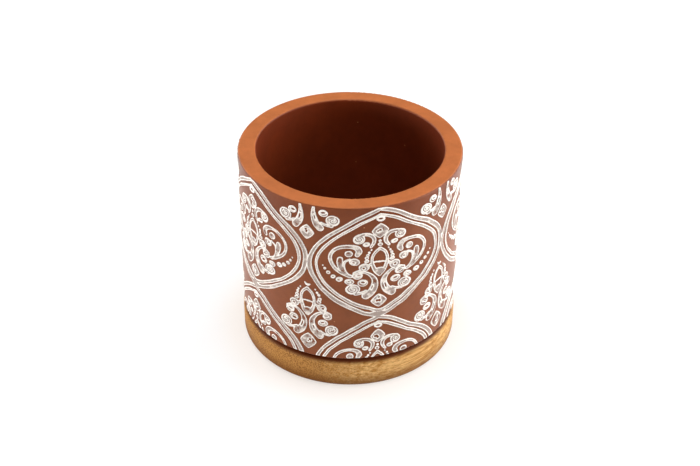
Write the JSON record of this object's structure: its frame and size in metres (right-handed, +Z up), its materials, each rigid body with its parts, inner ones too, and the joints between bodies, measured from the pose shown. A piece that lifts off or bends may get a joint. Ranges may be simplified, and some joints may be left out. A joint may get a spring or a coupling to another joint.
{
  "type": "planter",
  "caption": "Straight round clay planter with raised white slip ornament, lifting off a turned bamboo saucer that takes its foot.",
  "frame": {"origin": "on the table under the middle of the pot", "axes": "+Z up along the pot's axis, -Y towards the front"},
  "size_m": [0.1516, 0.1516, 0.147],
  "materials": {
    "clay": "satin washed terracotta wall, bare rim",
    "slip": "raised white slip, matt, pooled edges",
    "bamboo": "satin lacquered bamboo",
    "pad_rubber": "soft matt",
    "mesh_plastic": "moulded net"
  },
  "bodies": {
    "saucer": {"saucer": "bamboo", "saucer_pads": "pad_rubber"},
    "pot": {"pot_body": "clay", "slip_almonds": "slip", "slip_bead_rows": "slip", "slip_cell_bands": "slip", "slip_circles": "slip", "slip_curls": "slip", "slip_drops": "slip", "slip_gems": "slip", "slip_inner_lines": "slip", "slip_large_scrolls": "slip", "slip_leaves": "slip", "slip_rings": "slip", "slip_scroll_bulbs": "slip", "slip_spirals": "slip", "slip_upper_scrolls": "slip", "slip_waist_bulbs": "slip"},
    "drain_mesh": {"drain_mesh": "mesh_plastic"}
  },
  "joints": [
    {"name": "pot_lift", "type": "slide", "parent": "saucer", "child": "pot", "axis": [0, 0, 1], "range_m": [0, 0.06]},
    {"name": "mesh_lift", "type": "slide", "parent": "pot", "child": "drain_mesh", "axis": [0, 0, 1], "range_m": [0, 0.125]}
  ]
}
